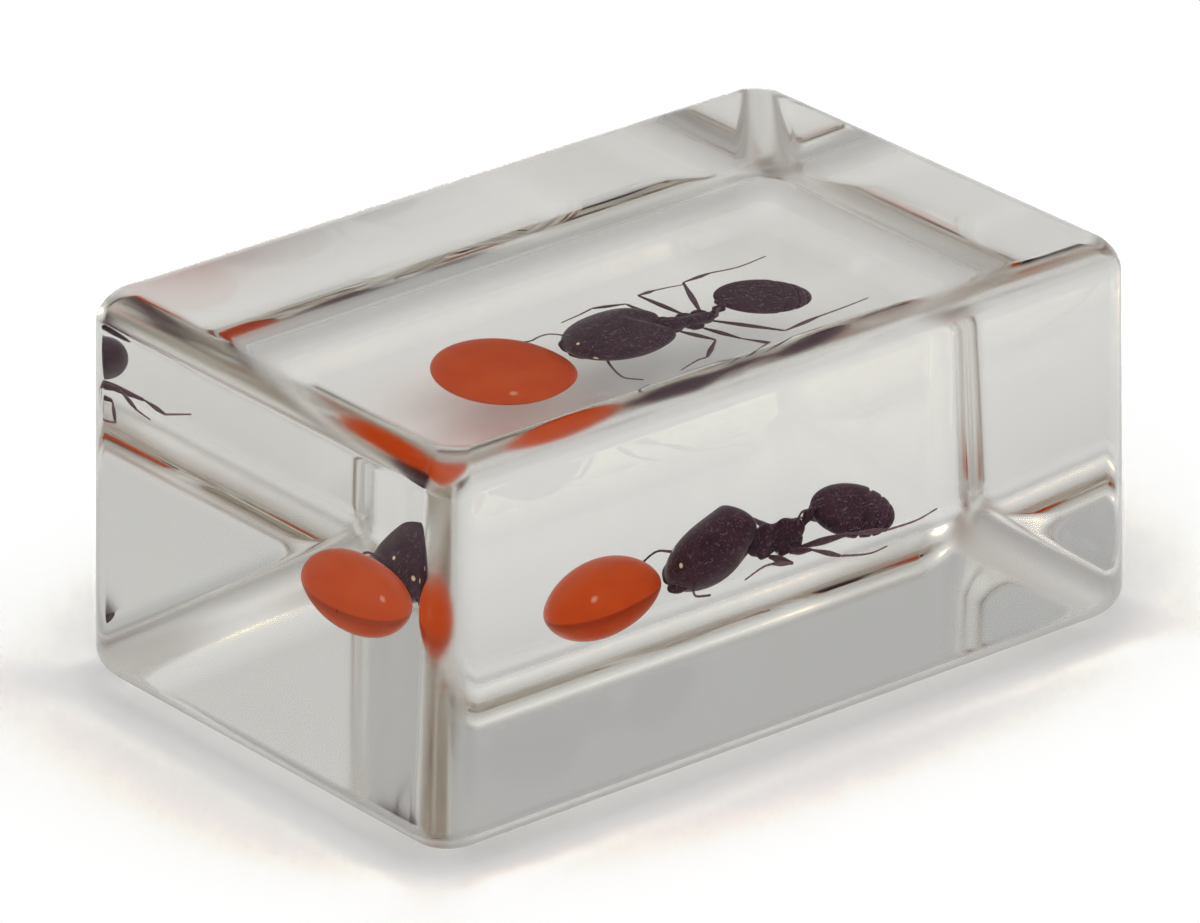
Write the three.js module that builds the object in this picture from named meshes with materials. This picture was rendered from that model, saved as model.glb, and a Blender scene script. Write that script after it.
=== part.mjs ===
// Insect-in-resin display block: the cast and polished block itself, one closed solid.
// Millimetres, +Z up. The origin is the centre of the base's bounding box, +X runs along the
// block's long side and +Y along its short side. The specimens sealed in the resin are drawn
// with the block's finish, because a solid body of resin has no cavity for them.

import * as THREE from 'three';

// ---- driving dimensions, mm ------------------------------------------------------------
const BLOCK_LENGTH = 44.4;     // along X, over the end walls just above the base edge
const BLOCK_WIDTH = 28.4;      // along Y, over the long walls just above the base edge
const BLOCK_HEIGHT = 20.9;     // along Z
const END_DRAFT = 0.75;        // how far each end wall leans in from the base edge to the top
const SIDE_DRAFT = 0.14;       // the same for the two long walls

const TOP_EDGE_LEG = 1.75;     // reach of the buffed top edge, along the top and down the wall
const WALL_EDGE_LEG = 1.75;    // reach of the four buffed upright edges
const BASE_EDGE_REACH = 4.6;   // how far in the base starts to roll up to its edge
const BASE_EDGE_RISE = 2.2;    // how far up the walls that edge goes
const BASE_CORNER_LEG = 2.4;   // reach of the upright edges just above the base edge
const BASE_CORNER_LEFT = 0.5;  // what is left of that reach on the flat base
const TOP_CORNER_LEG = 1.1;    // reach of the cut across each corner of the flat top
const CORNER_CUT_DROP = 1.3;   // how far down the wall that corner cut runs out

// A corner curve is a cubic whose two handles run this share of the way to the sharp corner.
const BUFFED_HANDLE = 0.6;     // a little fuller than a quarter circle
const ROUND_HANDLE = 0.66;     // the same for the base edge
const CUT_HANDLE = 0.18;       // nearly a straight cut

const CORNER_STEPS = 8;        // facets across each upright edge
const TOP_STEPS = 8;           // facets across the top edge
const BASE_STEPS = 10;         // facets across the base edge

const RESIN_COLOUR = 0xe9e8e2; // water-clear resin with a trace of warm grey
const RESIN_ROUGHNESS = 0.03;
const RESIN_METALNESS = 0.0;

// ---- outlines ---------------------------------------------------------------------------

/** A closed rectangle outline, half sizes a and b, with the same curve in each corner. */
function roundedOutline(a, b, leg, handle) {
  const near = leg * (1 - handle);    // from the sharp corner to a handle
  const shape = new THREE.Shape();
  shape.moveTo(a, -b + leg);
  shape.lineTo(a, b - leg);
  shape.bezierCurveTo(a, b - near, a - near, b, a - leg, b);
  shape.lineTo(-a + leg, b);
  shape.bezierCurveTo(-a + near, b, -a, b - near, -a, b - leg);
  shape.lineTo(-a, -b + leg);
  shape.bezierCurveTo(-a, -b + near, -a + near, -b, -a + leg, -b);
  shape.lineTo(a - leg, -b);
  shape.bezierCurveTo(a - near, -b, a, -b + near, a, -b + leg);
  const points = shape.getPoints(CORNER_STEPS);
  points.pop();                       // the last point repeats the first
  return points;
}

/** Points of an edge curve as (inset from the wall, distance from the flat face). */
function edgeCurve(reach, rise, handle, steps) {
  const near = 1 - handle;
  const curve = new THREE.CubicBezierCurve(
    new THREE.Vector2(reach, 0), new THREE.Vector2(reach * near, 0),
    new THREE.Vector2(0, rise * near), new THREE.Vector2(0, rise));
  return curve.getPoints(steps);
}

/** The stack of levels from the base up: height, inset, and corner reach of each outline. */
function blockLevels() {
  const { lerp, clamp } = THREE.MathUtils;
  const base = edgeCurve(BASE_EDGE_REACH, BASE_EDGE_RISE, ROUND_HANDLE, BASE_STEPS).map((p) => {
    const rolled = p.x / BASE_EDGE_RISE;
    return {
      z: p.y,
      inset: p.x,
      leg: lerp(BASE_CORNER_LEFT, BASE_CORNER_LEG, Math.exp(-rolled)),
      handle: lerp(BUFFED_HANDLE, ROUND_HANDLE, Math.min(rolled, 1)),
    };
  });
  const top = edgeCurve(TOP_EDGE_LEG, TOP_EDGE_LEG, BUFFED_HANDLE, TOP_STEPS).reverse().map((p) => {
    const cut = clamp(1 - p.y / CORNER_CUT_DROP, 0, 1);   // 0 on the wall, 1 on the flat top
    return {
      z: BLOCK_HEIGHT - p.y,
      inset: p.x,
      leg: lerp(WALL_EDGE_LEG, TOP_CORNER_LEG, cut),
      handle: lerp(BUFFED_HANDLE, CUT_HANDLE, cut),
    };
  });
  return [...base, ...top];
}

// ---- the solid --------------------------------------------------------------------------

/** A closed mesh through the stacked outlines, with a flat cap at each end. */
function blockGeometry() {
  const rings = blockLevels().map(({ z, inset, leg, handle }) => {
    const rise = Math.max(0, (z - BASE_EDGE_RISE) / (BLOCK_HEIGHT - BASE_EDGE_RISE));
    const a = BLOCK_LENGTH / 2 - END_DRAFT * rise - inset;
    const b = BLOCK_WIDTH / 2 - SIDE_DRAFT * rise - inset;
    return roundedOutline(a, b, leg, handle).map((p) => new THREE.Vector3(p.x, p.y, z));
  });
  const count = rings[0].length;
  const positions = rings.flat().flatMap((p) => [p.x, p.y, p.z]);
  const indices = [];
  for (let ring = 0; ring < rings.length - 1; ring += 1) {
    for (let i = 0; i < count; i += 1) {
      const low = ring * count + i;
      const lowNext = ring * count + ((i + 1) % count);
      indices.push(low, lowNext, lowNext + count);
      indices.push(low, lowNext + count, low + count);
    }
  }
  const baseCentre = rings.length * count;
  const topCentre = baseCentre + 1;
  positions.push(0, 0, 0, 0, 0, BLOCK_HEIGHT);
  const topRing = (rings.length - 1) * count;
  for (let i = 0; i < count; i += 1) {
    const next = (i + 1) % count;
    indices.push(baseCentre, next, i);
    indices.push(topCentre, topRing + i, topRing + next);
  }
  const geometry = new THREE.BufferGeometry();
  geometry.setAttribute('position', new THREE.Float32BufferAttribute(positions, 3));
  geometry.setIndex(indices);
  geometry.computeVertexNormals();
  return geometry;
}

const resin = new THREE.MeshStandardMaterial({
  color: RESIN_COLOUR,
  roughness: RESIN_ROUGHNESS,
  metalness: RESIN_METALNESS,
});

const block = new THREE.Mesh(blockGeometry(), resin);
block.name = 'resin_block';

const group = new THREE.Group();
group.add(block);

export default group;
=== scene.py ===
import logging
import math
from dataclasses import dataclass

import bpy
import numpy as np
from mathutils import Matrix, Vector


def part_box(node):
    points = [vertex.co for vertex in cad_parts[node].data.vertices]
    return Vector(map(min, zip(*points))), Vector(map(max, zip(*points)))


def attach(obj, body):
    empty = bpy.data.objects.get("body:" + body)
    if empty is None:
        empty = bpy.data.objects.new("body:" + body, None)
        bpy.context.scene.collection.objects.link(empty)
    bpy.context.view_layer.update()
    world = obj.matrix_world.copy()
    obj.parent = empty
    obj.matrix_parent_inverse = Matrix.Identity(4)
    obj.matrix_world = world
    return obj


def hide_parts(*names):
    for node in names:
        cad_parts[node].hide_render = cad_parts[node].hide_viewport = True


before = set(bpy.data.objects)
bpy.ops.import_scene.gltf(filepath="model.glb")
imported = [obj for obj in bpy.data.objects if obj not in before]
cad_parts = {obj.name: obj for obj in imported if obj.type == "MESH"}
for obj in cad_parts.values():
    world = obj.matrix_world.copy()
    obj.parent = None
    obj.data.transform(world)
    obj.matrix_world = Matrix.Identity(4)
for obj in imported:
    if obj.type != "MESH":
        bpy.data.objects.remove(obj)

# A clear cast resin block with a large-headed ant and a seed sealed in it.
# Sizes and places below are millimetres in the block's own frame: origin at the centre of the
# base, +X along the long side, +Y to the back, +Z up. Meshes are written in metres.

MM = 0.001
BLUNT_END = 1e-4    # the square of the share of its girth that a limb keeps at its very end
ALL_CHANNELS = 3    # the tone curve that acts on red, green and blue together
FACTOR, UNDER, OVER = 0, 6, 7       # a Mix node's inputs: its share and its two colours
BLEND = 2                           # its colour output
LOG = logging.getLogger("resin_block")
Point = tuple[float, float, float]
Path = tuple[Point, ...]
Keys = tuple[tuple[float, float], ...]      # (place along a limb from 0 to 1, radius in mm)


# ---- small helpers -----------------------------------------------------------------------


def linear(hex_colour: str) -> tuple[float, float, float, float]:
    """The scene-linear RGBA of an sRGB hex colour.

    Args:
        hex_colour: six hex digits, with or without a leading #.

    Returns:
        Red, green, blue and an alpha of 1.
    """
    digits = hex_colour.lstrip("#")
    channels = np.array([int(digits[i:i + 2], 16) for i in (0, 2, 4)]) / 255
    low = channels / 12.92
    high = ((channels + 0.055) / 1.055) ** 2.4
    return (*np.where(channels <= 0.04045, low, high).tolist(), 1.0)


def add_node(
    tree: bpy.types.NodeTree,
    kind: str,
    settings: dict[str | int, object] | None = None,
    links: dict[str | int, bpy.types.NodeSocket] | None = None,
) -> bpy.types.Node:
    """Adds a node, sets it up and links it.

    Args:
        tree: the node tree that gets the node.
        kind: the node's type name.
        settings: values by property name, input name or input number.
        links: sources by input name or number.

    Returns:
        The new node.
    """
    node = tree.nodes.new(kind)
    for key, value in (settings or {}).items():
        if isinstance(key, str) and hasattr(node, key):
            setattr(node, key, value)
        else:
            node.inputs[key].default_value = value
    for key, source in (links or {}).items():
        tree.links.new(source, node.inputs[key])
    return node


def unit(vector: np.ndarray) -> np.ndarray:
    """Vectors scaled to length 1 along their last axis."""
    return vector / np.linalg.norm(vector, axis=-1, keepdims=True)


def smoothstep(low: float | np.ndarray, high: float | np.ndarray,
               value: np.ndarray) -> np.ndarray:
    """0 below low, 1 above high, and 3t² - 2t³ between them."""
    t = np.clip((value - low) / (high - low), 0, 1)
    return t * t * (3 - 2 * t)


def lerp(start: float | np.ndarray, end: float | np.ndarray,
         share: np.ndarray) -> np.ndarray:
    """start + (end - start) · share."""
    return start + (end - start) * share


def square_axes(first: Point, second: Point) -> np.ndarray:
    """Three unit vectors at right angles.

    Args:
        first: the way of the first.
        second: the way of the second, which is made square to the first.

    Returns:
        The first, the second and their cross product, as rows.
    """
    one = unit(np.array(first))
    two = unit(np.array(second) - one * (one @ np.array(second)))
    return np.stack([one, two, np.cross(one, two)])


# ---- surfaces ----------------------------------------------------------------------------


@dataclass
class Shell:
    """One closed surface in millimetres.

    trait is a number from 0 to 1 on each vertex that the piece's finish reads, such as how
    thin a limb is there or how dull the surface was left.
    """

    points: np.ndarray
    quads: np.ndarray
    triangles: np.ndarray
    trait: np.ndarray


def closed_shell(rings: np.ndarray, first: np.ndarray, last: np.ndarray,
                 trait: float | np.ndarray = 0.0) -> Shell:
    """Stacked rings joined by quads and closed by a fan of triangles at each end.

    Args:
        rings: points (row, column, 3); columns run anticlockwise seen from the last row.
        first: the pole below the first ring.
        last: the pole above the last ring.
        trait: one value, or one for each row.

    Returns:
        The closed surface, its faces pointing out.
    """
    rows, columns = rings.shape[:2]
    here = np.arange(rows * columns).reshape(rows, columns)
    after = np.roll(here, -1, axis=1)
    quads = np.stack([here[:-1], after[:-1], after[1:], here[1:]], axis=-1).reshape(-1, 4)
    low = np.full(columns, rows * columns)
    triangles = np.vstack([
        np.stack([low, after[0], here[0]], axis=-1),
        np.stack([low + 1, here[-1], after[-1]], axis=-1),
    ])
    by_row = np.broadcast_to(trait, rows)
    values = np.concatenate([np.repeat(by_row, columns), by_row[[0, -1]]])
    points = np.vstack([rings.reshape(-1, 3), first, last])
    return Shell(points, quads, triangles, values)


def smooth_path(points: Path, steps: int) -> np.ndarray:
    """A Catmull-Rom curve through the points, its steps closer together at both ends.

    Between points b and c, with a before and d after, the place at t is
    (2b + (c - a)t + (2a - 5b + 4c - d)t² + (3b - a - 3c + d)t³) / 2.

    Args:
        points: the points that the curve passes through.
        steps: how many places along it come back.

    Returns:
        The places, (steps, 3).
    """
    given = np.array(points, float)
    ends = np.vstack([2 * given[0] - given[1], given, 2 * given[-1] - given[-2]])
    place = (1 - np.cos(np.pi * np.linspace(0, 1, steps))) / 2 * (len(given) - 1)
    span = np.minimum(place.astype(int), len(given) - 2)
    t = (place - span)[:, None]
    a, b, c, d = (ends[span + k] for k in range(4))
    curve = 2 * b + (c - a) * t + (2 * a - 5 * b + 4 * c - d) * t**2
    return (curve + (3 * b - a - 3 * c + d) * t**3) / 2


def along(path: np.ndarray) -> np.ndarray:
    """Each place's share of the path's length, from 0 to 1."""
    reach = np.concatenate([[0], np.cumsum(np.linalg.norm(np.diff(path, axis=0), axis=1))])
    return reach / reach[-1]


def profile(share: np.ndarray, keys: Keys, end: float) -> np.ndarray:
    """A radius along a limb: eased between keys, and rounded off over `end` at both ends.

    Args:
        share: places along the limb, 0 to 1.
        keys: (place, radius) pairs in order.
        end: the share of the length over which each end closes as sqrt(1 - x²).

    Returns:
        The radius at each place.
    """
    places, radii = (np.array(column, float) for column in zip(*keys))
    span = np.clip(np.searchsorted(places, share, side="right") - 1, 0, len(places) - 2)
    eased = lerp(radii[span], radii[span + 1],
                 smoothstep(places[span], places[span + 1], share))
    from_end = np.clip(1 - np.minimum(share, 1 - share) / end, 0, 1)
    return eased * np.sqrt(np.maximum(1 - from_end**2, BLUNT_END))


def sweep(path: np.ndarray, half_width: np.ndarray, half_height: np.ndarray, up: Point,
          sides: int = 20, trait: float | np.ndarray = 0.0) -> Shell:
    """Ellipse sections carried along a path.

    A ring is path + side · width · cos a + lift · height · sin a, where lift is `up` made
    square to the path's direction, and side is lift × direction.

    Args:
        path: places (n, 3), mm.
        half_width: half the section's width at each place.
        half_height: half its height.
        up: the way the height points.
        sides: points round each section.
        trait: one value, or one for each place.

    Returns:
        The closed limb.
    """
    direction = unit(np.gradient(path, axis=0))
    upward = np.array(up, float)
    lift = unit(upward - direction * (direction @ upward)[:, None])
    side = np.cross(lift, direction)
    angle = np.linspace(0, 2 * np.pi, sides, endpoint=False)
    wide = half_width[:, None, None] * np.cos(angle)[None, :, None] * side[:, None, :]
    high = half_height[:, None, None] * np.sin(angle)[None, :, None] * lift[:, None, :]
    return closed_shell(path[:, None, :] + wide + high, path[0], path[-1], trait)


def limb(points: Path, girth: Keys, steps: int, end: float, tall: float = 1.0,
         up: Point = (0.0, 0.0, 1.0), sides: int = 20, trait: float = 0.0) -> Shell:
    """A sweep along a smooth path, its radius from keys and its height that times `tall`.

    Args:
        points: the points that it passes through.
        girth: its (place, radius) pairs.
        steps: how many sections it has.
        end: the share of its length that rounds off each end.
        tall: its height as a share of its width.
        up: the way the height points.
        sides: points round each section.
        trait: its trait, the same all along.

    Returns:
        The closed limb.
    """
    path = smooth_path(points, steps)
    radius = profile(along(path), girth, end)
    return sweep(path, radius, radius * tall, up, sides, trait)


def make_piece(name: str, shells: list[Shell], finish: bpy.types.Material,
               trait: str) -> bpy.types.Object:
    """One mesh object from closed shells.

    Args:
        name: the piece's name.
        shells: its surfaces, mm.
        finish: the material it wears.
        trait: the name of the vertex attribute that holds the shells' trait.

    Returns:
        The object, at the origin, with its place in its mesh.
    """
    starts = np.cumsum([0] + [len(shell.points) for shell in shells])
    points = np.vstack([shell.points for shell in shells]) * MM
    quads = np.vstack([shell.quads + start for shell, start in zip(shells, starts)])
    triangles = np.vstack([shell.triangles + start for shell, start in zip(shells, starts)])
    mesh = bpy.data.meshes.new(name)
    mesh.from_pydata(points, [], quads.tolist() + triangles.tolist())
    mesh.polygons.foreach_set("use_smooth", np.ones(len(mesh.polygons), bool))
    attribute = mesh.attributes.new(trait, "FLOAT", "POINT")
    values = np.concatenate([shell.trait for shell in shells])
    attribute.data.foreach_set("value", values.astype(np.float32))
    mesh.materials.append(finish)
    mesh.update()
    piece = bpy.data.objects.new(name, mesh)
    bpy.context.scene.collection.objects.link(piece)
    return piece


# ---- finishes ----------------------------------------------------------------------------


def new_material(name: str) -> tuple[bpy.types.Material, bpy.types.NodeTree]:
    """An empty node material.

    Args:
        name: the material's name.

    Returns:
        The material and its node tree.
    """
    material = bpy.data.materials.new(name)
    material.use_nodes = True
    material.node_tree.nodes.clear()
    return material, material.node_tree


@dataclass(frozen=True)
class MarkOrHighlight:
    """A small round spot on a coat, a real mark or a painted highlight: its middle in mm, its
    radius in mm and its colour.
    """

    middle: Point
    radius: float
    colour: str

    def over(self, tree: bpy.types.NodeTree, place: bpy.types.NodeSocket,
             colour: bpy.types.NodeSocket) -> bpy.types.NodeSocket:
        """Mixes the mark over a colour, its rim softened over half its radius.

        Args:
            tree: the coat's node tree.
            place: the surface's Object coordinates.
            colour: the colour under the mark.

        Returns:
            The colour with the mark on it.
        """
        middle = tuple(value * MM for value in self.middle)
        away = add_node(tree, "ShaderNodeVectorMath", {"operation": "DISTANCE", 1: middle},
                        {0: place})
        inside = add_node(tree, "ShaderNodeMapRange", {
            "interpolation_type": "SMOOTHSTEP", "From Min": self.radius * MM,
            "From Max": self.radius * MM / 2}, {"Value": away.outputs["Value"]})
        mixed = add_node(tree, "ShaderNodeMix",
                         {"data_type": "RGBA", OVER: linear(self.colour)},
                         {FACTOR: inside.outputs["Result"], UNDER: colour})
        return mixed.outputs[BLEND]


@dataclass(frozen=True)
class CastPolyesterResin:
    """Water-clear cast polyester, ground and buffed: sharp refraction, bright inner mirrors."""

    ior: float = 1.59
    ground_roughness: float = 0.35  # where the dullness attribute is 1; 0 is a clear polish
    tint: str = "#d8d5c4"           # what white light keeps of its colour over one unit of depth
    density: float = 8.0            # units of depth per metre
    ripple_width: float = 9.0       # mm, the long ripple that hand buffing leaves
    ripple_height: float = 0.0006   # mm

    def material(self) -> bpy.types.Material:
        """The resin's material.

        Returns:
            A clear surface, rough where the dullness attribute says, round a body that
            absorbs a little.
        """
        material, tree = new_material("cast_polyester_resin")
        place = add_node(tree, "ShaderNodeTexCoord")
        ripple = add_node(tree, "ShaderNodeTexNoise",
                          {"Scale": 1 / (self.ripple_width * MM), "Detail": 1.0},
                          {"Vector": place.outputs["Object"]})
        bump = add_node(tree, "ShaderNodeBump",
                        {"Strength": 1.0, "Distance": self.ripple_height * MM},
                        {"Height": ripple.outputs["Fac"]})
        dullness = add_node(tree, "ShaderNodeAttribute", {"attribute_name": "dullness"})
        roughness = add_node(tree, "ShaderNodeMath",
                             {"operation": "MULTIPLY", 1: self.ground_roughness},
                             {0: dullness.outputs["Fac"]})
        surface = add_node(tree, "ShaderNodeBsdfPrincipled", {
            "Base Color": (1.0, 1.0, 1.0, 1.0), "IOR": self.ior, "Transmission Weight": 1.0},
            {"Normal": bump.outputs["Normal"], "Roughness": roughness.outputs[0]})
        body = add_node(tree, "ShaderNodeVolumeAbsorption",
                        {"Color": linear(self.tint), "Density": self.density})
        add_node(tree, "ShaderNodeOutputMaterial", {}, {
            "Surface": surface.outputs["BSDF"], "Volume": body.outputs["Volume"]})
        return material


@dataclass(frozen=True)
class AntCuticle:
    """Dry black-brown chitin: a dull gloss, warmer where the limbs are thin."""

    thick_colour: str = "#33202e"
    ruddy_colour: str = "#553340"
    thin_colour: str = "#94777e"
    scuff_colour: str = "#8b8494"   # hair-fine grey scratches and dust
    roughness: float = 0.38
    ior: float = 1.56
    specular: float = 0.12          # low: the resin that wets the cuticle takes its gloss
    blotch_width: float = 0.9       # mm, uneven browning of the cuticle
    pit_width: float = 0.09         # mm, sculpture pits and hair bases
    pit_depth: float = 0.006        # mm
    pit_strength: float = 0.8
    scuff_width: float = 0.22       # mm
    scuff_from: float = 0.56        # noise values between which a scuff comes in
    scuff_full: float = 0.68
    scuff_share: float = 0.5        # how much of its colour a full scuff gives
    # spots on the cuticle: the pale ones are painted light seen through gaps between the parts
    marks_and_highlights: tuple[MarkOrHighlight, ...] = (
        MarkOrHighlight((-2.18, -1.46, 8.1), 0.18, "#fff3c4"),     # painted light: the bright gap beside the jaw, near side
        MarkOrHighlight((-1.99, 0.14, 8.6), 0.16, "#fff7d8"),      # the same painted light, seen from above
        MarkOrHighlight((8.3, -2.1, 6.95), 0.13, "#c98a2c"),       # amber dot under the hind body
        MarkOrHighlight((4.1, -1.0, 6.85), 0.13, "#d8cdb0"),       # painted light seen between the leg roots
        MarkOrHighlight((4.95, -1.25, 6.95), 0.1, "#d8cdb0"),
    )

    def material(self) -> bpy.types.Material:
        """The ant's material.

        Returns:
            Blotched cuticle, paler where the thinness attribute says, with scuffs, an amber dot and
            painted light in the gaps by the jaws and between the leg roots.
        """
        material, tree = new_material("ant_cuticle")
        place = add_node(tree, "ShaderNodeTexCoord")
        blotch = add_node(tree, "ShaderNodeTexNoise",
                          {"Scale": 1 / (self.blotch_width * MM), "Detail": 3.0},
                          {"Vector": place.outputs["Object"]})
        body = add_node(tree, "ShaderNodeMix", {
            "data_type": "RGBA", UNDER: linear(self.thick_colour),
            OVER: linear(self.ruddy_colour)}, {FACTOR: blotch.outputs["Fac"]})
        thinness = add_node(tree, "ShaderNodeAttribute", {"attribute_name": "thinness"})
        colour = add_node(tree, "ShaderNodeMix",
                          {"data_type": "RGBA", OVER: linear(self.thin_colour)},
                          {FACTOR: thinness.outputs["Fac"], UNDER: body.outputs[BLEND]})
        scuff = add_node(tree, "ShaderNodeTexNoise", {
            "Scale": 1 / (self.scuff_width * MM), "Detail": 5.0, "Distortion": 1.5},
            {"Vector": place.outputs["Object"]})
        worn = add_node(tree, "ShaderNodeMapRange",
                        {"From Min": self.scuff_from, "From Max": self.scuff_full,
                         "To Max": self.scuff_share},
                        {"Value": scuff.outputs["Fac"]})
        scuffed = add_node(tree, "ShaderNodeMix",
                           {"data_type": "RGBA", OVER: linear(self.scuff_colour)},
                           {FACTOR: worn.outputs["Result"], UNDER: colour.outputs[BLEND]})
        coat = scuffed.outputs[BLEND]
        for mark in self.marks_and_highlights:
            coat = mark.over(tree, place.outputs["Object"], coat)
        pits = add_node(tree, "ShaderNodeTexNoise",
                        {"Scale": 1 / (self.pit_width * MM), "Detail": 2.0},
                        {"Vector": place.outputs["Object"]})
        bump = add_node(tree, "ShaderNodeBump",
                        {"Strength": self.pit_strength, "Distance": self.pit_depth * MM},
                        {"Height": pits.outputs["Fac"]})
        surface = add_node(tree, "ShaderNodeBsdfPrincipled", {
            "Roughness": self.roughness, "IOR": self.ior,
            "Specular IOR Level": self.specular},
            {"Base Color": coat, "Normal": bump.outputs["Normal"]})
        add_node(tree, "ShaderNodeOutputMaterial", {}, {"Surface": surface.outputs["BSDF"]})
        return material


@dataclass(frozen=True)
class SeedCoat:
    """A hard, waxy legume seed coat: saturated orange-red with a soft gloss."""

    bright_colour: str = "#e05c1c"
    deep_colour: str = "#c8451a"
    painted_shade_colour: str = "#b04216"   # painted shade, deeper just under the keel
    roughness: float = 0.3
    ior: float = 1.5
    specular: float = 0.1           # low, as on the cuticle
    blotch_width: float = 1.6       # mm
    marks_and_highlights: tuple[MarkOrHighlight, ...] = (
        MarkOrHighlight((-9.44, 0.42, 6.84), 0.2, "#3a1512"),      # the scar where it grew on its pod
        MarkOrHighlight((-7.77, -2.04, 7.96), 0.34, "#e8a48c"),    # a painted highlight, a pale patch on the waxy coat
        MarkOrHighlight((-4.35, 1.6, 8.35), 0.2, "#f0ddd0"),       # a chip in the coat
        MarkOrHighlight((-4.94, -0.42, 8.62), 0.1, "#f0b8a0"),
    )

    def material(self) -> bpy.types.Material:
        """The seed's material.

        Returns:
            Blotched orange-red wax, deepened by painted shade just under the keel, with a few small
            spots, one of them a painted highlight.
        """
        material, tree = new_material("waxy_seed_coat")
        place = add_node(tree, "ShaderNodeTexCoord")
        blotch = add_node(tree, "ShaderNodeTexNoise",
                          {"Scale": 1 / (self.blotch_width * MM), "Detail": 4.0},
                          {"Vector": place.outputs["Object"]})
        colour = add_node(tree, "ShaderNodeMix", {
            "data_type": "RGBA", UNDER: linear(self.bright_colour),
            OVER: linear(self.deep_colour)}, {FACTOR: blotch.outputs["Fac"]})
        # painted shade: the coat is deepened in a band just under the keel, as the mesh attribute
        # says
        shade = add_node(tree, "ShaderNodeAttribute", {"attribute_name": "painted_keel_shade"})
        shaded = add_node(tree, "ShaderNodeMix",
                          {"data_type": "RGBA", OVER: linear(self.painted_shade_colour)},
                          {FACTOR: shade.outputs["Fac"], UNDER: colour.outputs[BLEND]})
        coat = shaded.outputs[BLEND]
        for mark in self.marks_and_highlights:
            coat = mark.over(tree, place.outputs["Object"], coat)
        surface = add_node(tree, "ShaderNodeBsdfPrincipled", {
            "Roughness": self.roughness, "IOR": self.ior,
            "Specular IOR Level": self.specular},
            {"Base Color": coat})
        add_node(tree, "ShaderNodeOutputMaterial", {}, {"Surface": surface.outputs["BSDF"]})
        return material


@dataclass(frozen=True)
class PaperSweep:
    """Matt white background paper, which lights the block evenly from below."""

    colour: str = "#f6f6f6"

    def material(self) -> bpy.types.Material:
        """The floor's material.

        Returns:
            A plain diffuse white.
        """
        material, tree = new_material("background_paper")
        surface = add_node(tree, "ShaderNodeBsdfDiffuse", {"Color": linear(self.colour)})
        add_node(tree, "ShaderNodeOutputMaterial", {}, {"Surface": surface.outputs["BSDF"]})
        return material


# ---- the resin block ---------------------------------------------------------------------


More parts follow.
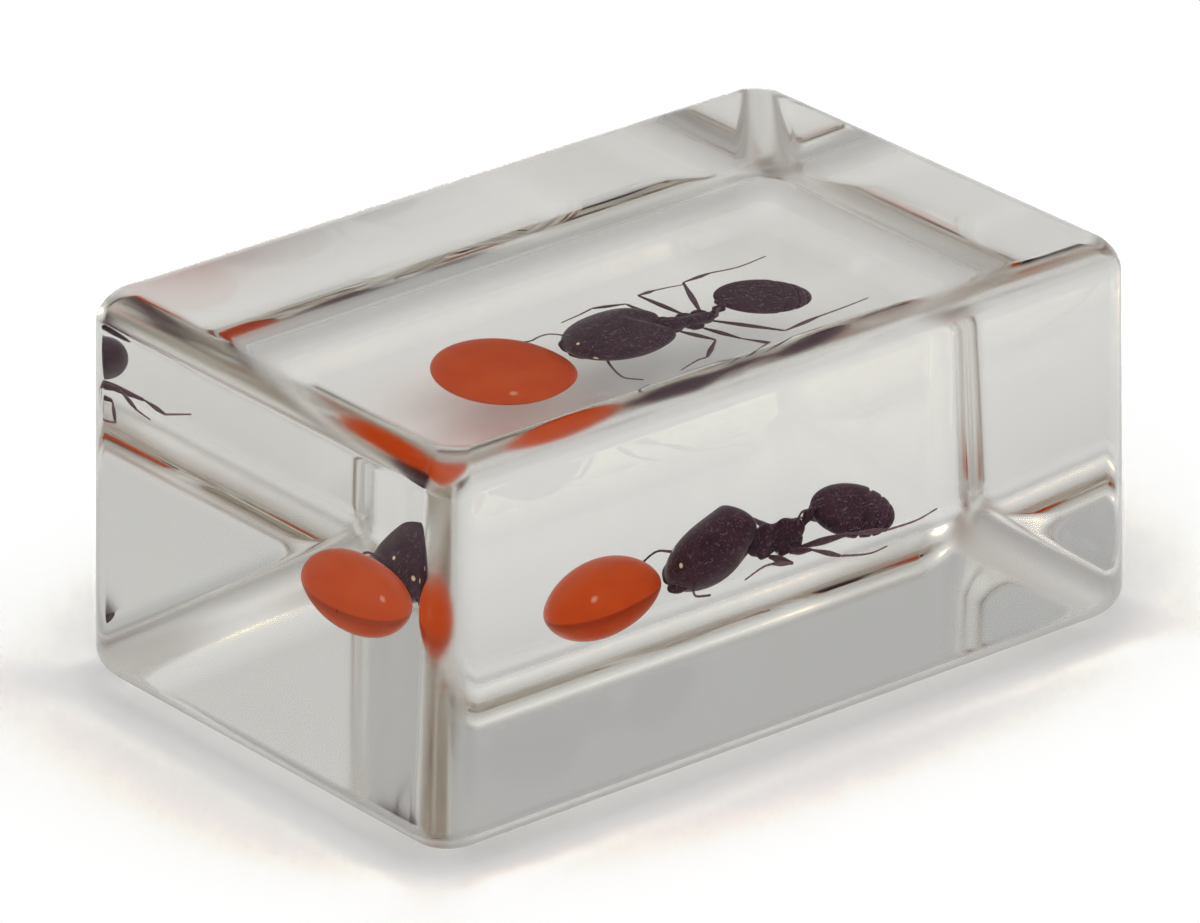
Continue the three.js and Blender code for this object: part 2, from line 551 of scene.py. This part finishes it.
@dataclass
class ResinBlock:
    """The cast block: four flat walls, a flat top and base, and buffed edges.

    Its overall size comes from the frame. The other sizes are millimetres.
    """

    length: float
    width: float
    height: float
    end_draft: float = 0.75         # how far each end wall leans in towards the top
    side_draft: float = 0.14        # the same for the long walls
    top_edge_leg: float = 1.75      # reach of the buffed top edge
    wall_edge_leg: float = 1.75     # reach of the buffed upright edges
    base_edge_reach: float = 4.6    # how far in the base starts to roll up to its edge
    base_edge_rise: float = 2.2     # how far up the walls that edge goes
    base_corner_leg: float = 2.4    # reach of the upright edges at the base
    base_corner_left: float = 0.5   # what is left of that reach on the flat base
    top_corner_leg: float = 1.1     # reach of the cut across each corner of the top
    corner_cut_drop: float = 1.3    # how far down that cut runs out
    buffed_handle: float = 0.6      # cubic handles, as a share of the way to the sharp corner
    round_handle: float = 0.66
    cut_handle: float = 0.18
    flat_tilt: float = 0.004        # normals nearer an axis than this are polished flat
    buffed_tilt: float = 0.05       # and past this, fully worked by hand
    buffed_share: float = 0.63      # how dull a buffed edge is beside the ground base edge
    base_share: float = 0.3         # the same for the flat base, scuffed from standing
    corner_steps: int = 40          # facets across each upright edge
    top_steps: int = 44             # and across the top edge
    base_steps: int = 40            # and across the base edge

    @classmethod
    def from_frame(cls, node: str) -> "ResinBlock":
        """The block at the size of its solid in the frame.

        Args:
            node: the solid's name.

        Returns:
            The block, not yet built.
        """
        low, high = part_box(node)
        size = [(top - bottom) / MM for bottom, top in zip(low, high)]
        return cls(*size)

    def edge_curve(self, reach: float, rise: float, handle: float, steps: int) -> np.ndarray:
        """A cubic across a sharp edge, as (inset from the wall, distance from the flat face).

        Its points are (reach, 0), (reach · k, 0), (0, rise · k), (0, rise), k = 1 - handle.

        Args:
            reach: how far in the curve starts on the flat face, mm.
            rise: how far from that face it ends on the wall, mm.
            handle: the handles' share of the way to the sharp corner.
            steps: how many facets it has.

        Returns:
            Its points, (steps + 1, 2).
        """
        t = np.linspace(0, 1, steps + 1)
        share = (1 - t) ** 3 + 3 * (1 - handle) * t * (1 - t) ** 2
        return np.stack([reach * share, rise * share[::-1]], axis=-1)

    def levels(self) -> tuple[np.ndarray, ...]:
        """The stack of outlines, from the base up.

        Returns:
            The height, inset, corner reach and corner handle of each.
        """
        base = self.edge_curve(self.base_edge_reach, self.base_edge_rise, self.round_handle,
                               self.base_steps)
        rolled = base[:, 0] / self.base_edge_rise
        base_handle = lerp(self.buffed_handle, self.round_handle, np.minimum(rolled, 1))
        base_corner = lerp(self.base_corner_left, self.base_corner_leg, np.exp(-rolled))
        top = self.edge_curve(self.top_edge_leg, self.top_edge_leg, self.buffed_handle,
                              self.top_steps)[::-1]
        cut = np.clip(1 - top[:, 1] / self.corner_cut_drop, 0, 1)
        height = np.concatenate([base[:, 1], self.height - top[:, 1]])
        inset = np.concatenate([base[:, 0], top[:, 0]])
        reach = np.concatenate([base_corner,
                                lerp(self.wall_edge_leg, self.top_corner_leg, cut)])
        handle = np.concatenate([base_handle, lerp(self.buffed_handle, self.cut_handle, cut)])
        return height, inset, reach, handle

    def outlines(self) -> np.ndarray:
        """Every outline's points, anticlockwise from above.

        A corner is the cubic (0, reach), (0, near), (near, 0), (reach, 0) in from the sharp
        corner, and the straight sides are the long quads between two corners.

        Returns:
            The points, (level, place round the outline, 3), mm.
        """
        height, inset, reach, handle = self.levels()
        rise = (height - self.base_edge_rise) / (self.height - self.base_edge_rise)
        rise = np.maximum(rise, 0)
        half_x = self.length / 2 - self.end_draft * rise - inset
        half_y = self.width / 2 - self.side_draft * rise - inset
        t = np.linspace(0, 1, self.corner_steps + 1)[None, :]
        near = (reach * (1 - handle))[:, None]
        far = reach[:, None] * t**3 + 3 * near * t**2 * (1 - t)
        close = reach[:, None] * (1 - t) ** 3 + 3 * near * t * (1 - t) ** 2
        across, inward = half_x[:, None], half_y[:, None]
        x = np.hstack([across - far, -across + close, -across + far, across - close])
        y = np.hstack([inward - close, inward - far, -inward + close, -inward + far])
        return np.stack([x, y, np.broadcast_to(height[:, None], x.shape)], axis=-1)

    def normals(self, rings: np.ndarray) -> np.ndarray:
        """True surface normals, so that the flat faces refract as flat ones.

        Each is (next - previous round the outline) × (level above - level below). The caps'
        centres count as the levels under the first and over the last.

        Args:
            rings: the outlines' points.

        Returns:
            Unit normals in the same order.
        """
        middles = np.zeros((2, 1, 3))
        middles[1, 0, 2] = self.height
        stack = np.concatenate([np.broadcast_to(middles[:1], rings[:1].shape), rings,
                                np.broadcast_to(middles[1:], rings[:1].shape)])
        round_outline = np.roll(rings, -1, axis=1) - np.roll(rings, 1, axis=1)
        up_wall = stack[2:] - stack[:-2]
        return unit(np.cross(round_outline, up_wall))

    def dullness(self, points: np.ndarray, normals: np.ndarray) -> np.ndarray:
        """How dull each vertex is: 0 on the polished faces, 1 on the ground base edge.

        The tilt, one less the normal's largest component, is eased from 0 at `flat_tilt` to 1
        at `buffed_tilt`. It is multiplied by a share that falls from 1 on the base edge to
        `buffed_share` at its top. The flat base has `base_share`.

        Args:
            points: the vertices, mm.
            normals: their unit normals.

        Returns:
            One value for each vertex.
        """
        tilt = 1 - np.abs(normals).max(axis=-1)
        worked = smoothstep(self.flat_tilt, self.buffed_tilt, tilt)
        height = points[:, 2]
        above = smoothstep(self.base_edge_rise / 2, self.base_edge_rise, height)
        dull = worked * lerp(1.0, self.buffed_share, above)
        return np.where(height <= 0, np.maximum(dull, self.base_share), dull)

    def build(self) -> bpy.types.Object:
        """Builds the block's mesh, dresses it, and lets it stand for the solid.

        Returns:
            The block's piece.
        """
        rings = self.outlines()
        shell = closed_shell(rings, np.array([0, 0, 0.0]), np.array([0, 0, self.height]))
        poles = np.array([[0, 0, -1.0], [0, 0, 1.0]])
        normals = np.vstack([self.normals(rings).reshape(-1, 3), poles])
        shell.trait = self.dullness(shell.points, normals)
        piece = make_piece("resin_body", [shell], CastPolyesterResin().material(), "dullness")
        piece.data.normals_split_custom_set_from_vertices(normals.tolist())
        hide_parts("resin_block")
        return piece


# ---- the seed ----------------------------------------------------------------------------


@dataclass
class Seed:
    """A lens-shaped seed lying on its flat side, one end more pointed."""

    centre: Point = (-6.33, 0.78, 7.17)
    long_axis: Point = (0.061, -0.997, 0.056)
    cross_axis: Point = (0.995, 0.065, 0.080)
    half_length: float = 3.92
    half_width: float = 3.29
    half_height: float = 1.95
    beak_angle: float = 43.0        # degrees, from the cross axis to the long axis
    beak_reach: float = 0.1         # how far the pointed end stands out, as a share
    beak_power: int = 6             # how narrow that end is
    skew: float = 0.05              # how much wider the outline is across the beak than along it
    keel: float = 1.2               # 1 is an ellipsoid; more gives a sharper rim
    keel_edge: float = 0.03         # radians each side of the keel where its painted shade comes in
    shade_full: float = 0.1         # radians under the keel where the painted shade starts to fade
    shade_end: float = 0.6          # and where it has gone
    sides: int = 160
    rows: int = 122

    def build(self) -> bpy.types.Object:
        """Builds the seed: two domes that meet at a keel, with painted shade in a band just under
        it.

        At angle t under the keel and bearing a, a point lies cos t · r(a) out and
        half height · |sin t| to the power keel down. r(a) is the ellipse times
        1 + reach · cos(a - beak) to the beak's power on its side, less skew · cos 2(a - beak).

        Returns:
            The seed's piece.
        """
        axes = square_axes(self.cross_axis, self.long_axis)
        angle = np.linspace(0, 2 * np.pi, self.sides, endpoint=False)[None, :]
        under = np.linspace(-np.pi / 2, np.pi / 2, self.rows)[1:-1, None]
        from_beak = angle - math.radians(self.beak_angle)
        beak = self.beak_reach * np.maximum(np.cos(from_beak), 0) ** self.beak_power
        out = np.cos(under) * (1 + beak - self.skew * np.cos(2 * from_beak))
        down = self.half_height * np.sign(under) * np.abs(np.sin(under)) ** self.keel
        local = np.stack(np.broadcast_arrays(self.half_width * out * np.cos(angle),
                                             self.half_length * out * np.sin(angle), down), axis=-1)
        pole = axes[2] * self.half_height
        centre = np.array(self.centre)
        # painted shade: a band just under the keel, fading out further down
        shade = smoothstep(-self.keel_edge, self.keel_edge, under[:, 0])
        shade = shade * (1 - smoothstep(self.shade_full, self.shade_end, under[:, 0]))
        shell = closed_shell(centre + local @ axes, centre - pole, centre + pole, shade)
        return make_piece("seed", [shell], SeedCoat().material(), "painted_keel_shade")


# ---- the ant -----------------------------------------------------------------------------


@dataclass
class Head:
    """A big two-lobed head, with an ellipsoid's outline and a notch in the back of it."""

    centre: Point = (0.65, 0.04, 7.91)
    back: Point = (0.921, -0.251, 0.298)
    left: Point = (0.356, 0.851, -0.386)
    half_length: float = 3.11
    half_width: float = 3.31
    half_height: float = 1.76
    notch_depth: float = 0.8
    notch_width: float = 1.1
    notch_start: float = 0.2        # where the notch comes in, from 0 at the middle to 1 behind
    back_cut: float = 0.13          # how much of the back half's length is cut square
    back_square: float = 0.3        # how much fuller that makes its two lobes
    crown_cut: float = 0.45         # how far the top of the back leans forward
    crown_rise: float = 0.22        # how much the crown stands up, and the throat is drawn in
    crown_place: float = 0.62       # where that is most, from -1 at the face to 1 at the back
    crown_spread: float = 0.45
    rows: int = 92
    sides: int = 120

    def shell(self) -> Shell:
        """The capsule: an ellipsoid with a squarer back.

        Towards the back its girth is sin t to a power that falls by `back_square`, its length
        shrinks by `back_cut`, it sinks by depth · exp(-(left / width)²), and its upper half
        leans forward by `crown_cut` times its height. Its height is 1 + rise · crest · sin a
        times the ellipsoid's, where crest is exp(-((to back - place) / spread)²).

        Returns:
            The closed capsule.
        """
        polar = np.linspace(0, np.pi, self.rows)[1:-1, None]
        angle = np.linspace(0, 2 * np.pi, self.sides, endpoint=False)[None, :]
        to_back = -np.cos(polar) * np.ones_like(angle)
        behind = smoothstep(0.0, 1.0, to_back)
        girth = np.sin(polar) ** (1 - self.back_square * behind)
        left = self.half_width * girth * np.cos(angle)
        crest = np.exp(-((to_back - self.crown_place) / self.crown_spread) ** 2)
        high = self.half_height * girth * np.sin(angle)
        high = high * (1 + self.crown_rise * crest * np.sin(angle))
        sunk = self.notch_depth * np.exp(-(left / self.notch_width) ** 2)
        lengthwise = self.half_length * to_back * (1 - self.back_cut * behind)
        lengthwise -= sunk * smoothstep(self.notch_start, 1.0, to_back)
        lengthwise -= self.crown_cut * behind * np.maximum(high / self.half_height, 0)
        local = np.stack([lengthwise, left, high], axis=-1)
        axes = square_axes(self.back, self.left)
        centre = np.array(self.centre)
        front = centre - axes[0] * self.half_length
        nape_reach = self.half_length * (1 - self.back_cut) - self.notch_depth
        return closed_shell(centre + local @ axes, front, centre + axes[0] * nape_reach)


@dataclass(frozen=True)
class Leg:
    """One leg: coxa, thigh, shin and a jointed foot. Their traits are how thin they look."""

    root: Point
    hip: Point
    knee: Point
    ankle: Point
    foot: Path
    coxa_girth: Keys = ((0, 0.5), (0.6, 0.44), (1, 0.2))
    thigh_girth: Keys = ((0, 0.09), (0.45, 0.17), (1, 0.08))
    shin_girth: Keys = ((0, 0.065), (0.6, 0.145), (1, 0.085))
    foot_girth: Keys = ((0, 0.07), (1, 0.05))
    foot_joints: int = 5
    joint_depth: float = 0.18       # how much thinner the foot is at a joint, as a share

    def shells(self) -> list[Shell]:
        """The leg's four parts, each a sweep with its own swelling.

        The foot's girth is multiplied by 1 - depth + depth · |sin(joints · π · place)|.

        Returns:
            Coxa, thigh, shin and foot.
        """
        path = smooth_path((self.ankle, *self.foot), 60)
        swell = np.abs(np.sin(self.foot_joints * np.pi * along(path)))
        joints = 1 - self.joint_depth + self.joint_depth * swell
        radius = profile(along(path), self.foot_girth, 0.03) * joints
        return [
            limb((self.root, self.hip), self.coxa_girth, steps=14, end=0.3, tall=1.1,
                 trait=0.05),
            limb((self.hip, self.knee), self.thigh_girth, steps=26, end=0.04, tall=1.25,
                 trait=0.3),
            limb((self.knee, self.ankle), self.shin_girth, steps=24, end=0.04, trait=0.4),
            sweep(path, radius, radius, (0, 0, 1), sides=12, trait=0.7),
        ]


@dataclass
class Ant:
    """A dry, large-headed worker, all its parts grown together as one piece."""

    head: Head
    jaw_paths: tuple[Path, ...] = (
        ((-0.9, 1.1, 7.5), (-1.6, 1.15, 7.35), (-2.0, 0.9, 7.05), (-2.2, 0.6, 6.75)),
        ((-0.9, -0.3, 7.0), (-1.55, 0.0, 6.7), (-1.95, 0.4, 6.5), (-2.15, 0.7, 6.55)),
    )
    jaw_girth: Keys = ((0, 0.85), (0.5, 0.58), (1, 0.2))
    muzzle_path: Path = ((-0.6, 0.45, 7.5), (-1.5, 0.65, 7.1), (-2.2, 0.8, 6.8))
    muzzle_girth: Keys = ((0, 1.4), (0.6, 1.1), (1, 0.85))
    feeler_paths: tuple[Path, ...] = (
        ((-1.0, 1.1, 8.25), (-1.51, 1.4, 8.14), (-2.1, 2.08, 8.22), (-2.6, 2.3, 8.05),
         (-3.16, 2.35, 7.72), (-3.55, 2.9, 7.2)),
        ((-1.1, -1.0, 6.9), (-1.39, -1.43, 6.76), (-1.66, -2.04, 6.75), (-1.93, -2.9, 6.73),
         (-1.95, -3.5, 6.76), (-1.45, -4.22, 6.81)),
    )
    feeler_girth: Keys = ((0, 0.09), (0.35, 0.07), (1, 0.075))
    bead_count: int = 11
    bead_depth: float = 0.16        # how much thinner the whip is between beads, as a share
    trunk_path: Path = ((2.5, -0.1, 7.75), (3.1, -0.3, 7.6), (3.9, -0.55, 7.6),
                        (4.7, -0.8, 7.7), (5.3, -0.85, 7.65), (5.9, -0.8, 7.7))
    trunk_up: Point = (-0.15, -0.5, 0.85)
    trunk_height: Keys = ((0, 0.5), (0.16, 0.9), (0.32, 1.08), (0.46, 0.9), (0.52, 0.9),
                          (0.62, 1.06), (0.74, 0.8), (0.84, 0.82), (1, 0.32))
    trunk_width: Keys = ((0, 0.4), (0.3, 0.7), (0.5, 0.54), (0.75, 0.56), (1, 0.28))
    waist_path: Path = ((5.5, -0.85, 7.7), (5.9, -0.85, 8.0), (6.3, -0.75, 8.35),
                        (6.75, -0.35, 8.3), (7.1, -0.1, 8.15))
    waist_girth: Keys = ((0, 0.26), (0.2, 0.2), (0.4, 0.36), (0.55, 0.2), (0.78, 0.42),
                         (1, 0.25))
    spine_path: Path = ((5.3, -1.2, 7.9), (5.15, -1.6, 8.4), (5.3, -1.7, 8.75),
                        (5.7, -1.2, 8.65), (6.1, -0.9, 8.5))
    spine_girth: Keys = ((0, 0.1), (0.5, 0.07), (1, 0.1))
    gaster_centre: Point = (8.99, -0.75, 7.63)
    gaster_axis: Point = (0.858, -0.359, -0.366)
    gaster_aside: Point = (-0.484, -0.805, -0.344)
    gaster_half_length: float = 2.67
    gaster_half_width: float = 1.76
    gaster_half_height: float = 1.07
    gaster_rows: int = 162
    gaster_sides: int = 96
    plate_edges: Keys = ((0.64, 0.1), (0.79, 0.08), (0.9, 0.06))    # (place, groove's depth)
    groove_width: float = 0.014     # as a share of the gaster's length
    step_from: float = 0.6          # where the plates behind the first start to be smaller
    step_to: float = 0.66
    step_depth: float = 0.035       # by how much, as a share
    legs: tuple[Leg, ...] = (
        Leg((3.3, -0.5, 7.3), (3.57, -0.94, 6.8), (4.4, -2.65, 6.49), (2.34, -4.45, 7.4),
            ((1.72, -4.44, 7.39), (0.48, -4.69, 7.12))),
        Leg((4.3, -0.7, 7.3), (4.72, -1.35, 6.77), (5.13, -3.7, 7.2), (6.33, -5.31, 6.8),
            ((7.4, -7.0, 6.9), (8.3, -7.8, 7.2))),
        Leg((5.1, -0.6, 7.3), (5.63, -0.86, 6.69), (7.2, -4.58, 7.6), (9.9, -3.95, 6.9),
            ((11.75, -3.87, 6.85), (13.16, -3.9, 7.11))),
        Leg((3.4, -0.1, 7.4), (3.59, 0.7, 7.1), (3.38, 2.98, 7.4), (2.04, 3.98, 6.75),
            ((1.06, 3.71, 6.9), (-0.47, 3.3, 7.3))),
        Leg((4.4, -0.3, 7.4), (4.76, 0.27, 7.3), (4.26, 3.13, 7.9), (5.75, 3.68, 6.8),
            ((6.69, 3.74, 6.4), (7.71, 3.73, 6.0))),
        Leg((5.2, -0.4, 7.4), (5.63, 0.01, 7.3), (7.38, 3.41, 7.0), (9.55, 3.94, 6.1),
            ((11.23, 3.77, 5.8), (13.26, 4.03, 5.6))),
    )

    def jaws(self) -> list[Shell]:
        """Two short curved jaws that meet at the seed, and the muzzle they grow from.

        Returns:
            The muzzle and both jaws, flattened a little.
        """
        up = (0.0, 0.3, 1.0)
        muzzle = limb(self.muzzle_path, self.muzzle_girth, steps=50, end=0.22, tall=0.85,
                      up=up, sides=40)
        return [muzzle] + [limb(path, self.jaw_girth, steps=40, end=0.15, tall=0.8, up=up,
                                sides=28) for path in self.jaw_paths]

    def feelers(self) -> list[Shell]:
        """Two antennae, each a smooth scape and a beaded whip.

        Past the scape the radius is multiplied by 1 - depth · |cos(beads · π · place)|.

        Returns:
            The far and the near one.
        """
        shells = []
        for points in self.feeler_paths:
            path = smooth_path(points, 90)
            share = along(path)
            whip = smoothstep(0.3, 0.4, share)
            beads = 1 - self.bead_depth * whip * np.abs(np.cos(self.bead_count * np.pi * share))
            radius = profile(share, self.feeler_girth, 0.02) * beads
            shells.append(sweep(path, radius, radius, (0, 0, 1), sides=14, trait=0.5))
        return shells

    def trunk(self) -> list[Shell]:
        """Mesosoma: pronotum hump, waist between the plates, and the propodeum.

        Returns:
            The trunk, in one sweep.
        """
        path = smooth_path(self.trunk_path, 70)
        height = profile(along(path), self.trunk_height, 0.08)
        width = profile(along(path), self.trunk_width, 0.08)
        return [sweep(path, width, height, self.trunk_up, sides=40)]

    def waist(self) -> list[Shell]:
        """The two knots between the trunk and the gaster, and the thin spine over them.

        Returns:
            The knots and the spine.
        """
        knots = limb(self.waist_path, self.waist_girth, steps=60, end=0.06,
                     up=(0.0, -0.4, 0.9), sides=28)
        spine = limb(self.spine_path, self.spine_girth, steps=40, end=0.05, sides=12,
                     trait=0.3)
        return [knots, spine]

    def gaster(self) -> list[Shell]:
        """The hind body: an ellipsoid that steps in where each plate ends.

        Its girth is sin t less a narrow groove, depth · exp(-((place - edge) / width)²), at each
        plate's edge, and the plates behind the first are a little smaller.

        Returns:
            The closed hind body.
        """
        axes = square_axes(self.gaster_axis, self.gaster_aside)
        polar = np.linspace(0, np.pi, self.gaster_rows)[1:-1, None]
        angle = np.linspace(0, 2 * np.pi, self.gaster_sides, endpoint=False)[None, :]
        place = (1 - np.cos(polar)) / 2
        step = self.step_depth * smoothstep(self.step_from, self.step_to, place)
        girth = np.sin(polar) * (1 - step)
        for edge, depth in self.plate_edges:
            girth = girth * (1 - depth * np.exp(-((place - edge) / self.groove_width) ** 2))
        wide, deep = self.gaster_half_width * girth, self.gaster_half_height * girth
        local = np.stack(np.broadcast_arrays(-self.gaster_half_length * np.cos(polar),
                                             wide * np.cos(angle), deep * np.sin(angle)), axis=-1)
        centre = np.array(self.gaster_centre)
        tail = axes[0] * self.gaster_half_length
        return [closed_shell(centre + local @ axes, centre - tail, centre + tail)]

    def build(self) -> bpy.types.Object:
        """Builds the whole ant as one mesh.

        Returns:
            The ant's piece.
        """
        shells = [self.head.shell(), *self.jaws(), *self.feelers(), *self.trunk(),
                  *self.waist(), *self.gaster()]
        for leg in self.legs:
            shells.extend(leg.shells())
        return make_piece("ant", shells, AntCuticle().material(), "thinness")


# ---- studio ------------------------------------------------------------------------------


@dataclass(frozen=True)
class SoftBox:
    """A soft light panel far off: full within `inner` degrees of its middle, none past `outer`."""

    azimuth: float
    elevation: float
    inner: float
    outer: float
    strength: float

    def direction(self) -> Point:
        """The way to the panel; azimuth 0 is +Y and turns towards +X."""
        azimuth, elevation = math.radians(self.azimuth), math.radians(self.elevation)
        level = math.cos(elevation)
        return (level * math.sin(azimuth), level * math.cos(azimuth), math.sin(elevation))


@dataclass
class Studio:
    """White paper, a soft dome of light and the camera."""

    floor_gap: float = 0.03         # mm between the paper and the block's base
    flat_half: float = 1000.0       # mm, how far out the paper lies flat
    floor_half: float = 2000.0      # mm, how far out its edge is
    floor_lift: float = 120.0       # mm, how far its edge curls up, to hide the horizon
    bounces: int = 80               # enough to follow light round inside the block
    diffuse_bounces: int = 4
    horizon: float = 0.42           # the dome's brightness, from its foot
    low_sky: float = 0.57           # through the height `low_band`
    zenith: float = 0.56            # to the height `high_band` and above
    low_band: float = 0.4           # heights are sines of the elevation
    high_band: float = 0.9
    softboxes: tuple[SoftBox, ...] = (
        SoftBox(azimuth=150, elevation=55, inner=10, outer=45, strength=0.4),
        SoftBox(azimuth=-110, elevation=50, inner=10, outer=45, strength=0.45),
        SoftBox(azimuth=0, elevation=90, inner=15, outer=50, strength=0.85),
    )
    tone_points: tuple[tuple[float, float], ...] = (    # whitens paper and deepens shadows
        (0.0, 0.0), (0.05, 0.008), (0.1, 0.052), (0.2, 0.165), (0.3, 0.275), (0.6, 0.59),
        (0.67, 0.67), (0.71, 0.78), (0.76, 1.0), (1.0, 1.0))

    def floor(self) -> None:
        """The sheet of paper: a flat square, and a border that slopes up from it."""
        signs = ((-1, -1), (1, -1), (1, 1), (-1, 1))
        flat, half = self.flat_half * MM, self.floor_half * MM
        level = -self.floor_gap * MM
        corners = [(x * flat, y * flat, level) for x, y in signs]
        corners += [(x * half, y * half, level + self.floor_lift * MM) for x, y in signs]
        border = [(i, 4 + i, 4 + (i + 1) % 4, (i + 1) % 4) for i in range(4)]
        mesh = bpy.data.meshes.new("floor")
        mesh.from_pydata(corners, [], [(0, 1, 2, 3), *border])
        mesh.materials.append(PaperSweep().material())
        sheet = bpy.data.objects.new("floor", mesh)
        bpy.context.scene.collection.objects.link(sheet)

    def dome(self) -> None:
        """The world: brightness by height above the horizon, plus the soft boxes."""
        world = bpy.data.worlds.new("studio_dome")
        world.use_nodes = True
        tree = world.node_tree
        tree.nodes.clear()
        place = add_node(tree, "ShaderNodeTexCoord")
        way = add_node(tree, "ShaderNodeSeparateXYZ", {}, {0: place.outputs["Generated"]})
        low = add_node(tree, "ShaderNodeMapRange", {
            "interpolation_type": "SMOOTHSTEP", "From Min": 0.0, "From Max": self.low_band,
            "To Min": self.horizon, "To Max": self.low_sky}, {"Value": way.outputs["Z"]})
        high = add_node(tree, "ShaderNodeMapRange", {
            "interpolation_type": "SMOOTHSTEP", "From Min": self.low_band,
            "From Max": self.high_band, "To Min": 0.0, "To Max": self.zenith - self.low_sky},
            {"Value": way.outputs["Z"]})
        total = add_node(tree, "ShaderNodeMath", {"operation": "ADD"},
                         {0: low.outputs["Result"], 1: high.outputs["Result"]})
        for box in self.softboxes:
            facing = add_node(tree, "ShaderNodeVectorMath",
                              {"operation": "DOT_PRODUCT", 1: box.direction()},
                              {0: place.outputs["Generated"]})
            share = add_node(tree, "ShaderNodeMapRange", {
                "interpolation_type": "SMOOTHSTEP",
                "From Min": math.cos(math.radians(box.outer)),
                "From Max": math.cos(math.radians(box.inner)),
                "To Min": 0.0, "To Max": box.strength}, {"Value": facing.outputs["Value"]})
            total = add_node(tree, "ShaderNodeMath", {"operation": "ADD"},
                             {0: total.outputs[0], 1: share.outputs["Result"]})
        light = add_node(tree, "ShaderNodeBackground", {}, {"Strength": total.outputs[0]})
        add_node(tree, "ShaderNodeOutputWorld", {}, {"Surface": light.outputs["Background"]})
        bpy.context.scene.world = world

    def view(self) -> None:
        """Colour management, and enough bounces to follow light through the block."""
        scene = bpy.context.scene
        scene.view_settings.view_transform = "Standard"
        scene.view_settings.use_curve_mapping = True
        curve = scene.view_settings.curve_mapping.curves[ALL_CHANNELS]
        for place, level in self.tone_points[1:-1]:
            curve.points.new(place, level)
        scene.view_settings.curve_mapping.update()
        scene.cycles.max_bounces = self.bounces
        scene.cycles.transmission_bounces = self.bounces
        scene.cycles.glossy_bounces = self.bounces
        scene.cycles.diffuse_bounces = self.diffuse_bounces
        scene.cycles.blur_glossy = 0.0


@dataclass(frozen=True)
class ProductCamera:
    """A long lens that looks down on the block's near corner."""

    place: Point = (-294.418, -358.577, 220.309)   # mm
    azimuth: float = -39.31732                      # degrees, 0 looks along +Y
    elevation: float = 24.35433                     # degrees above the floor
    roll: float = -0.20785                          # degrees
    lens: float = 312.43                            # mm on a 36 mm wide sensor
    sensor: float = 36.0
    near_clip: float = 0.01                         # metres
    far_clip: float = 20.0                          # metres

    def build(self) -> None:
        """Makes the camera, turned by azimuth, elevation and roll, and sets it as the scene's."""
        azimuth, elevation, roll = (math.radians(angle) for angle in
                                    (self.azimuth, self.elevation, self.roll))
        level = math.cos(elevation)
        back = np.array([math.sin(azimuth) * level, -math.cos(azimuth) * level,
                         math.sin(elevation)])
        right = unit(np.cross([0.0, 0.0, 1.0], back))
        up = np.cross(back, right)
        turned_right = right * math.cos(roll) + up * math.sin(roll)
        turned_up = up * math.cos(roll) - right * math.sin(roll)
        matrix = np.eye(4)
        matrix[:3, :3] = np.stack([turned_right, turned_up, back], axis=1)
        matrix[:3, 3] = np.array(self.place) * MM
        data = bpy.data.cameras.new("product_camera")
        data.sensor_fit = "HORIZONTAL"
        data.sensor_width = self.sensor
        data.lens = self.lens
        data.clip_start = self.near_clip
        data.clip_end = self.far_clip
        camera = bpy.data.objects.new("product_camera", data)
        camera.matrix_world = Matrix(matrix.tolist())
        bpy.context.scene.collection.objects.link(camera)
        bpy.context.scene.camera = camera


def main() -> None:
    """Builds the scene in order: camera, studio, block and what is sealed in it."""
    logging.basicConfig(level=logging.INFO, format="%(name)s: %(message)s")
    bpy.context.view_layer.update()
    ProductCamera().build()
    studio = Studio()
    studio.floor()
    studio.dome()
    studio.view()
    pieces = {
        "clear_resin": ResinBlock.from_frame("resin_block").build(),
        "seed_coat": Seed().build(),
        "ant_cuticle": Ant(Head()).build(),
    }
    for slot, piece in pieces.items():
        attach(piece, "root")
        LOG.info("%s: %d faces", piece.name, len(piece.data.polygons))


if __name__ == "__main__":
    main()
